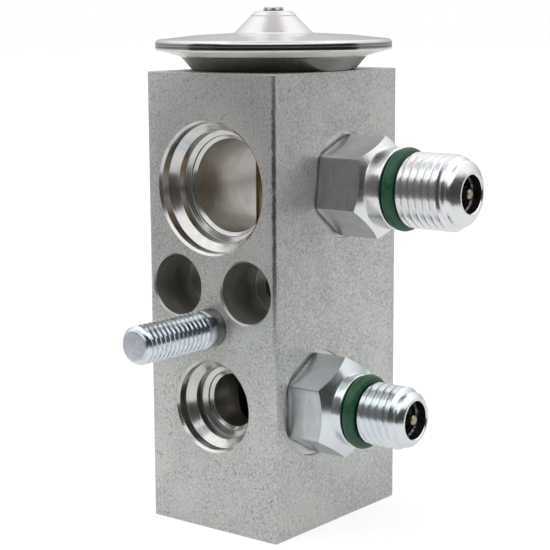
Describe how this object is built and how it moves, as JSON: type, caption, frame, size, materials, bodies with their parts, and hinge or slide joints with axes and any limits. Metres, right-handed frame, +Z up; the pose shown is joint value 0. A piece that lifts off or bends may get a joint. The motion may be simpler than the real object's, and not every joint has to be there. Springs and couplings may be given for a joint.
{
  "type": "thermostatic expansion valve",
  "caption": "Block expansion valve for an air conditioner: aluminium body with pipe ports, a clamp stud, a round diaphragm head and side service ports with O-rings.",
  "frame": {"origin": "centre of the block's underside, on the valve axis", "axes": "+Z up to the power head; -Y is the line side with the stud; service ports point along +X"},
  "size_m": [0.0551, 0.0527, 0.0824],
  "materials": {
    "block_aluminium": "satin extruded surface with a fine speckle, bright machined bores",
    "polished_stainless": "bright pressed sheet, mirror-like with faint spinning lines",
    "plain_stainless": "turned, satin",
    "spring_steel": "drawn wire",
    "rod_brass": "turned, satin",
    "zinc_steel": "bright bluish zinc plating",
    "bright_fitting": "bright turned and plated",
    "core_brass": "bright turned",
    "green_rubber": "smooth moulded",
    "black_rubber": "smooth moulded",
    "gasket_polymer": "smooth moulded"
  },
  "bodies": {
    "valve_body": {"valve_block": "block_aluminium", "head_cap": "polished_stainless", "head_cup": "polished_stainless", "charge_plug": "polished_stainless", "head_collar": "plain_stainless", "diaphragm": "plain_stainless", "main_spring": "spring_steel", "upper_core_spring": "spring_steel", "lower_core_spring": "spring_steel", "seal_washer": "rod_brass", "mounting_stud": "zinc_steel", "upper_port_body": "bright_fitting", "lower_port_body": "bright_fitting", "upper_core_shell": "core_brass", "lower_core_shell": "core_brass", "upper_port_ring": "green_rubber", "lower_port_ring": "green_rubber", "head_ring": "black_rubber", "rod_seal": "black_rubber", "upper_base_ring": "black_rubber", "lower_base_ring": "black_rubber", "upper_core_gasket": "gasket_polymer", "lower_core_gasket": "gasket_polymer"},
    "lift": {"thrust_disc": "plain_stainless", "sensing_rod": "rod_brass", "push_pin": "plain_stainless", "valve_ball": "plain_stainless", "ball_carrier": "plain_stainless"},
    "adjuster_seat": {"adjuster_seal": "black_rubber"},
    "adjuster": {"adjusting_screw": "rod_brass"},
    "upper_core": {"upper_core_pin": "core_brass", "upper_core_seal": "black_rubber"},
    "lower_core": {"lower_core_pin": "core_brass", "lower_core_seal": "black_rubber"}
  },
  "joints": [
    {"name": "valve_lift", "type": "slide", "parent": "valve_body", "child": "lift", "axis": [0, 0, -1], "range_m": [0, 0.0008], "stiffness_N_per_m": 3000, "springref_m": -0.0015, "deforming": ["main_spring", "diaphragm"]},
    {"name": "adjuster_turn", "type": "hinge", "parent": "adjuster_seat", "child": "adjuster", "pos_m": [0, 0, 0.005], "axis": [0, 0, 1], "range_deg": [-180, 180]},
    {"name": "adjuster_travel", "type": "slide", "parent": "valve_body", "child": "adjuster_seat", "axis": [0, 0, 1], "range_m": [-0.00052, 0.00052]},
    {"name": "upper_core_press", "type": "slide", "parent": "valve_body", "child": "upper_core", "axis": [-1, 0, 0], "range_m": [0, 0.0012], "stiffness_N_per_m": 500, "springref_m": -0.002, "deforming": ["upper_core_spring"]},
    {"name": "lower_core_press", "type": "slide", "parent": "valve_body", "child": "lower_core", "axis": [-1, 0, 0], "range_m": [0, 0.0012], "stiffness_N_per_m": 500, "springref_m": -0.002, "deforming": ["lower_core_spring"]}
  ],
  "couplings": [
    {"joint": "adjuster_travel", "follows": "adjuster_turn", "m_per_rad": 0.00015915}
  ]
}
